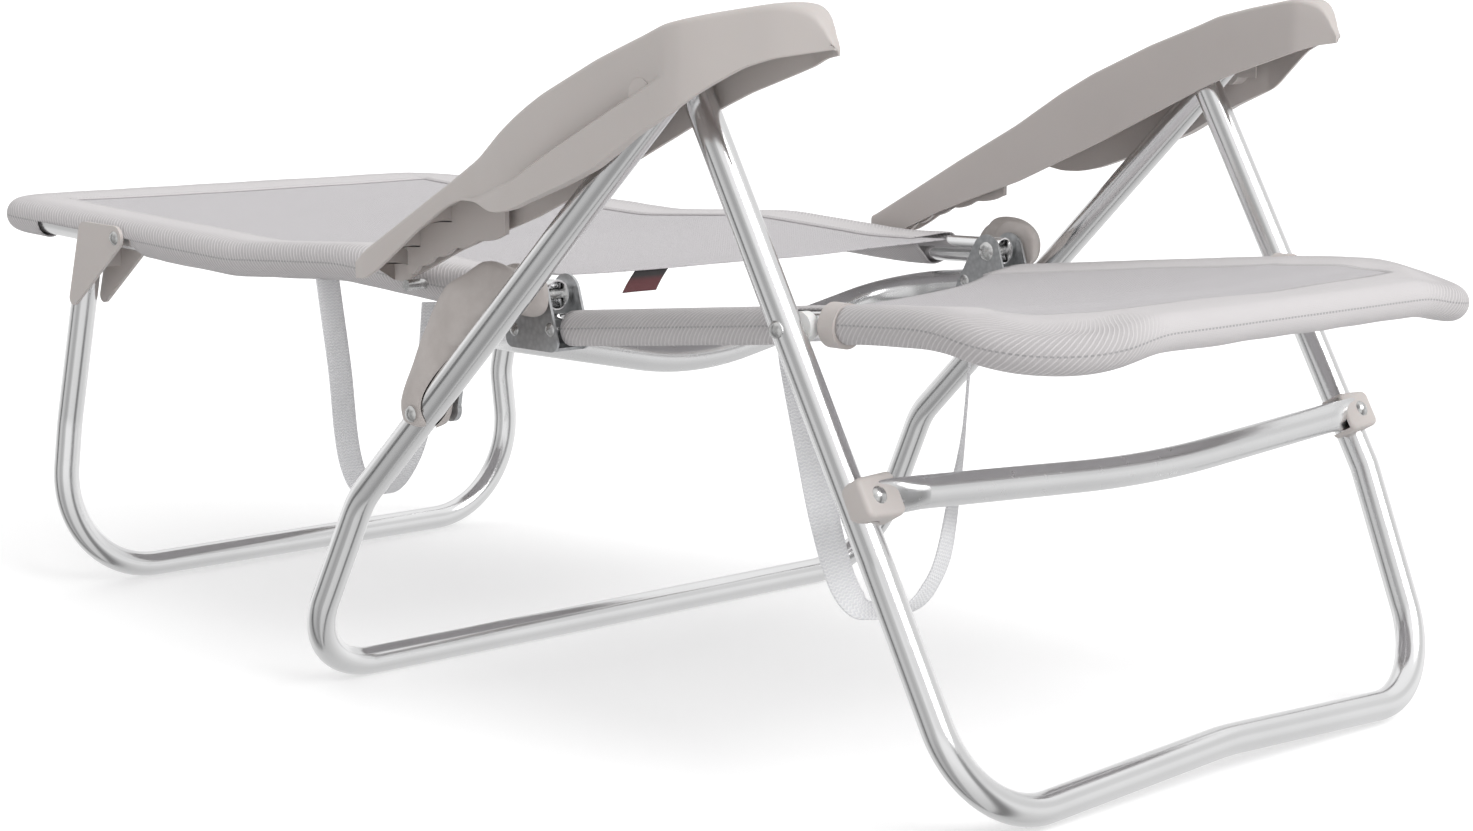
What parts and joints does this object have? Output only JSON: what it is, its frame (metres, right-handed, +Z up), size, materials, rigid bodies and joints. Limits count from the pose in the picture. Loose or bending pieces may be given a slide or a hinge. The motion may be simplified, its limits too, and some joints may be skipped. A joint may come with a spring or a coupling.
{
  "type": "folding beach lounger",
  "caption": "Folding beach lounger: bright tube frame with three floor bars, grey sling seat and reclining back, beige armrests and two carry straps.",
  "frame": {"origin": "centre of the bounding box in plan, on the floor", "axes": "+Y from the foot end to the head end, +Z up, +X across"},
  "size_m": [0.66, 1.237, 0.5241],
  "materials": {
    "frame_tube": "polished, bright drawn tube",
    "brace_tube": "satin drawn tube",
    "bracket_steel": "galvanised sheet",
    "rivet_steel": "zinc plated",
    "sling_fabric": "plain woven, matte",
    "webbing": "woven strap, slight sheen",
    "beige_plastic": "moulded, fine grain",
    "beige_vinyl": "soft vinyl, matte",
    "white_nylon": "moulded nylon",
    "tag_fabric": "woven label, left plain"
  },
  "bodies": {
    "seat": {"seat_frame": "frame_tube", "seat_panel": "sling_fabric", "seat_sleeves": "sling_fabric", "seat_sleeve_collars": "beige_plastic", "hinge_bracket_left": "bracket_steel", "hinge_bracket_right": "bracket_steel", "hinge_pins": "rivet_steel", "seat_tube_rivets": "rivet_steel", "stretcher_bar": "brace_tube", "stretcher_rivets": "rivet_steel", "leg_pivot_rivets": "rivet_steel", "leg_pivot_spacers": "white_nylon", "front_carry_strap": "webbing"},
    "backrest": {"backrest_frame": "frame_tube", "backrest_panel": "sling_fabric", "backrest_sleeves": "sling_fabric", "head_sleeve": "sling_fabric", "rack_pins": "rivet_steel", "head_leg_rivets": "rivet_steel", "rear_carry_strap": "webbing", "sewn_tag": "tag_fabric"},
    "head_leg": {"head_leg": "frame_tube", "head_leg_bracket_left": "beige_plastic", "head_leg_bracket_right": "beige_plastic"},
    "front_leg": {"front_leg": "frame_tube", "cross_brace": "brace_tube", "brace_collar_left": "beige_plastic", "brace_collar_right": "beige_plastic", "brace_rivets": "rivet_steel"},
    "rear_leg": {"rear_leg": "frame_tube", "arm_pivot_rivets": "rivet_steel", "link_rivets": "rivet_steel"},
    "armrest_left": {"armrest_left": "beige_plastic"},
    "armrest_right": {"armrest_right": "beige_plastic"},
    "link_left": {"link_left": "bracket_steel", "link_sheath_left": "beige_vinyl"},
    "link_right": {"link_right": "bracket_steel", "link_sheath_right": "beige_vinyl"}
  },
  "joints": [
    {"name": "leg_fold", "type": "hinge", "parent": "seat", "child": "front_leg", "pos_m": [0, -0.41, 0.31691], "axis": [1, 0, 0], "range_deg": [0, 90], "deforming": ["front_carry_strap"]},
    {"name": "rear_leg_fold", "type": "hinge", "parent": "front_leg", "child": "rear_leg", "pos_m": [0, -0.326, 0.466], "axis": [1, 0, 0], "range_deg": [-71, 0]},
    {"name": "backrest_recline", "type": "hinge", "parent": "seat", "child": "backrest", "pos_m": [0, -0.145, 0.315], "axis": [1, 0, 0], "range_deg": [0, 70]},
    {"name": "head_leg_fold", "type": "hinge", "parent": "backrest", "child": "head_leg", "pos_m": [0, 0.397, 0.31884], "axis": [1, 0, 0], "range_deg": [-95, 0], "deforming": ["rear_carry_strap"]},
    {"name": "armrest_left_tilt", "type": "hinge", "parent": "rear_leg", "child": "armrest_left", "pos_m": [-0.3, -0.326, 0.466], "axis": [1, 0, 0], "range_deg": [0, 23]},
    {"name": "armrest_right_tilt", "type": "hinge", "parent": "rear_leg", "child": "armrest_right", "pos_m": [0.3, -0.326, 0.466], "axis": [1, 0, 0], "range_deg": [0, 23]},
    {"name": "link_left_swing", "type": "hinge", "parent": "seat", "child": "link_left", "pos_m": [-0.27, -0.145, 0.315], "axis": [1, 0, 0], "range_deg": [-101, 0], "deforming": ["link_sheath_left"]},
    {"name": "link_right_swing", "type": "hinge", "parent": "seat", "child": "link_right", "pos_m": [0.27, -0.145, 0.315], "axis": [1, 0, 0], "range_deg": [-101, 0], "deforming": ["link_sheath_right"]}
  ],
  "couplings": [
    {"joint": "rear_leg_fold", "follows": "leg_fold", "ratio": -0.788},
    {"joint": "link_left_swing", "follows": "leg_fold", "ratio": -1.114},
    {"joint": "link_right_swing", "follows": "leg_fold", "ratio": -1.114},
    {"joint": "armrest_left_tilt", "follows": "backrest_recline", "ratio": 0.32},
    {"joint": "armrest_right_tilt", "follows": "backrest_recline", "ratio": 0.32}
  ]
}
